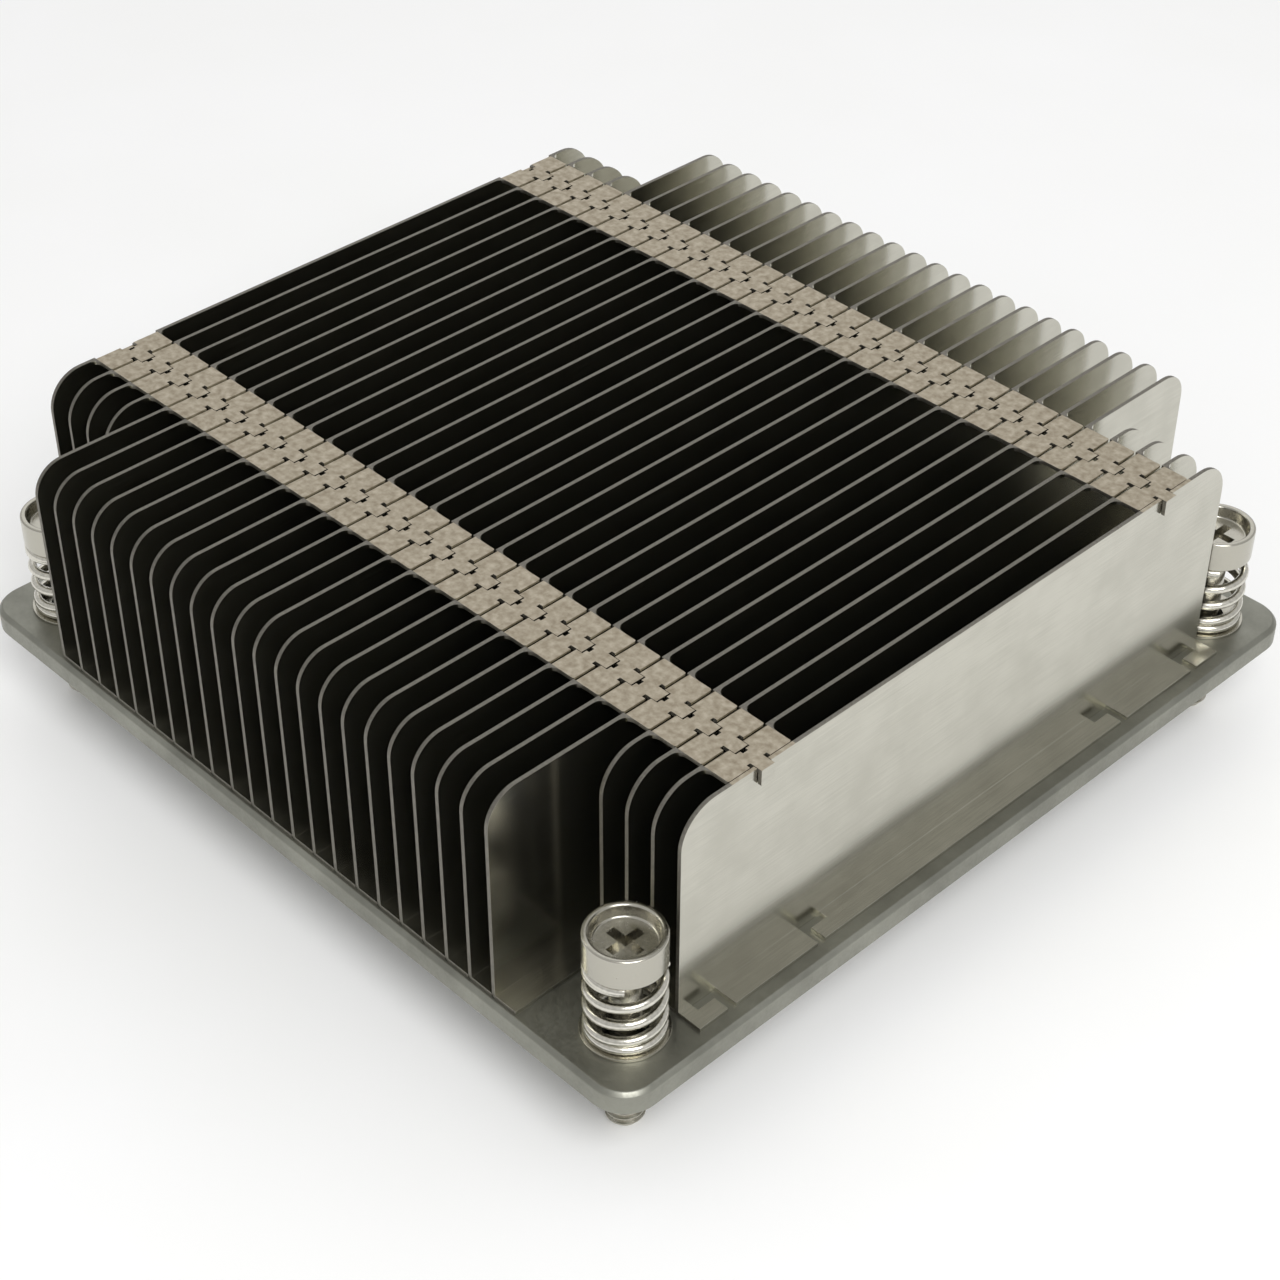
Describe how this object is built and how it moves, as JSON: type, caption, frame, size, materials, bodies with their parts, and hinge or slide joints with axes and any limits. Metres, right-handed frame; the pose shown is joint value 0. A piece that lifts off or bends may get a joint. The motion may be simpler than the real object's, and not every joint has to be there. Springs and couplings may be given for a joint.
{
  "type": "passive heat sink",
  "caption": "Square finned heat sink for a server processor: folded sheet fins locked together on a base plate, with captive spring screws at its corners.",
  "frame": {"origin": "centre of the contact face under the base plate", "axes": "+Z from the contact face up through the fins; the air flows along Y; the fins stand side by side along X"},
  "size_m": [0.0926, 0.0926, 0.033],
  "materials": {
    "fin_aluminium": "mill finish, satin",
    "base_aluminium": "milled, satin",
    "screw_steel": "bright nickel plated",
    "spring_steel": "bright nickel plated wire",
    "washer_steel": "bright nickel plated",
    "ring_steel": "plain spring steel"
  },
  "bodies": {
    "base": {"base_plate": "base_aluminium", "fin_01": "fin_aluminium", "fin_02": "fin_aluminium", "fin_03": "fin_aluminium", "fin_04": "fin_aluminium", "fin_05": "fin_aluminium", "fin_06": "fin_aluminium", "fin_07": "fin_aluminium", "fin_08": "fin_aluminium", "fin_09": "fin_aluminium", "fin_10": "fin_aluminium", "fin_11": "fin_aluminium", "fin_12": "fin_aluminium", "fin_13": "fin_aluminium", "fin_14": "fin_aluminium", "fin_15": "fin_aluminium", "fin_16": "fin_aluminium", "fin_17": "fin_aluminium", "fin_18": "fin_aluminium", "fin_19": "fin_aluminium", "fin_20": "fin_aluminium", "fin_21": "fin_aluminium", "fin_22": "fin_aluminium", "fin_23": "fin_aluminium", "fin_24": "fin_aluminium", "fin_25": "fin_aluminium", "fin_26": "fin_aluminium", "fin_27": "fin_aluminium", "fin_28": "fin_aluminium", "fin_29": "fin_aluminium", "fin_30": "fin_aluminium", "spring_washer_1": "washer_steel", "screw_spring_1": "spring_steel", "spring_washer_2": "washer_steel", "screw_spring_2": "spring_steel", "spring_washer_3": "washer_steel", "screw_spring_3": "spring_steel", "spring_washer_4": "washer_steel", "screw_spring_4": "spring_steel"},
    "ring_1": {"retaining_ring_1": "ring_steel"},
    "screw_1": {"spring_screw_1": "screw_steel"},
    "ring_2": {"retaining_ring_2": "ring_steel"},
    "screw_2": {"spring_screw_2": "screw_steel"},
    "ring_3": {"retaining_ring_3": "ring_steel"},
    "screw_3": {"spring_screw_3": "screw_steel"},
    "ring_4": {"retaining_ring_4": "ring_steel"},
    "screw_4": {"spring_screw_4": "screw_steel"}
  },
  "joints": [
    {"name": "screw_1_press", "type": "slide", "parent": "base", "child": "ring_1", "axis": [0, 0, 1], "range_m": [-0.0025, 0], "stiffness_N_per_m": 10000, "deforming": ["screw_spring_1"]},
    {"name": "screw_1_turn", "type": "hinge", "parent": "ring_1", "child": "screw_1", "pos_m": [0.04, -0.04, 0], "axis": [0, 0, 1], "continuous": true},
    {"name": "screw_2_press", "type": "slide", "parent": "base", "child": "ring_2", "axis": [0, 0, 1], "range_m": [-0.0025, 0], "stiffness_N_per_m": 10000, "deforming": ["screw_spring_2"]},
    {"name": "screw_2_turn", "type": "hinge", "parent": "ring_2", "child": "screw_2", "pos_m": [0.04, 0.04, 0], "axis": [0, 0, 1], "continuous": true},
    {"name": "screw_3_press", "type": "slide", "parent": "base", "child": "ring_3", "axis": [0, 0, 1], "range_m": [-0.0025, 0], "stiffness_N_per_m": 10000, "deforming": ["screw_spring_3"]},
    {"name": "screw_3_turn", "type": "hinge", "parent": "ring_3", "child": "screw_3", "pos_m": [-0.04, 0.04, 0], "axis": [0, 0, 1], "continuous": true},
    {"name": "screw_4_press", "type": "slide", "parent": "base", "child": "ring_4", "axis": [0, 0, 1], "range_m": [-0.0025, 0], "stiffness_N_per_m": 10000, "deforming": ["screw_spring_4"]},
    {"name": "screw_4_turn", "type": "hinge", "parent": "ring_4", "child": "screw_4", "pos_m": [-0.04, -0.04, 0], "axis": [0, 0, 1], "continuous": true}
  ]
}
